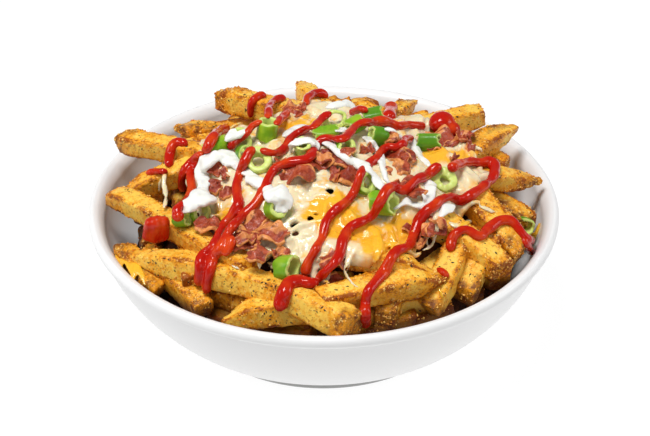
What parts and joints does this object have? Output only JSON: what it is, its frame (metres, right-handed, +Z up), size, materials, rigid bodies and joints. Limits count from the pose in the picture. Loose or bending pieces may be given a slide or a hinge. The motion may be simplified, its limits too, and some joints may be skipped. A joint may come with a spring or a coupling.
{
  "type": "french fries portion",
  "caption": "Loaded french fries heaped in a white footed bowl, with melted cheese, bacon, green onion, ketchup and sour cream.",
  "frame": {"origin": "centre of the bowl's foot ring, on the surface it stands on", "axes": "+Z up; the side shown in the picture faces -Y"},
  "size_m": [0.21, 0.21, 0.0958],
  "materials": {
    "bowl_white": "gloss",
    "fries_golden": "oily",
    "cheese_melted": "gloss",
    "onion_green": "satin",
    "bacon_crisp": "oily"
  },
  "bodies": {
    "root": {"bowl": "bowl_white", "fries_heap": "fries_golden", "melted_cheese": "cheese_melted", "onion_01": "onion_green", "onion_02": "onion_green", "onion_03": "onion_green", "onion_04": "onion_green", "onion_05": "onion_green", "onion_06": "onion_green", "onion_07": "onion_green", "onion_08": "onion_green", "onion_09": "onion_green", "onion_10": "onion_green", "onion_11": "onion_green", "onion_12": "onion_green", "onion_13": "onion_green", "onion_14": "onion_green", "onion_15": "onion_green", "onion_16": "onion_green", "onion_17": "onion_green", "onion_18": "onion_green", "onion_19": "onion_green", "onion_20": "onion_green", "onion_21": "onion_green", "bacon_01": "bacon_crisp", "bacon_02": "bacon_crisp", "bacon_03": "bacon_crisp", "bacon_04": "bacon_crisp", "bacon_05": "bacon_crisp", "bacon_06": "bacon_crisp", "bacon_07": "bacon_crisp", "bacon_08": "bacon_crisp", "bacon_09": "bacon_crisp", "bacon_10": "bacon_crisp", "bacon_11": "bacon_crisp", "bacon_12": "bacon_crisp", "bacon_13": "bacon_crisp", "bacon_14": "bacon_crisp", "bacon_15": "bacon_crisp", "bacon_16": "bacon_crisp", "bacon_17": "bacon_crisp", "bacon_18": "bacon_crisp", "bacon_19": "bacon_crisp", "bacon_20": "bacon_crisp"}
  },
  "joints": []
}
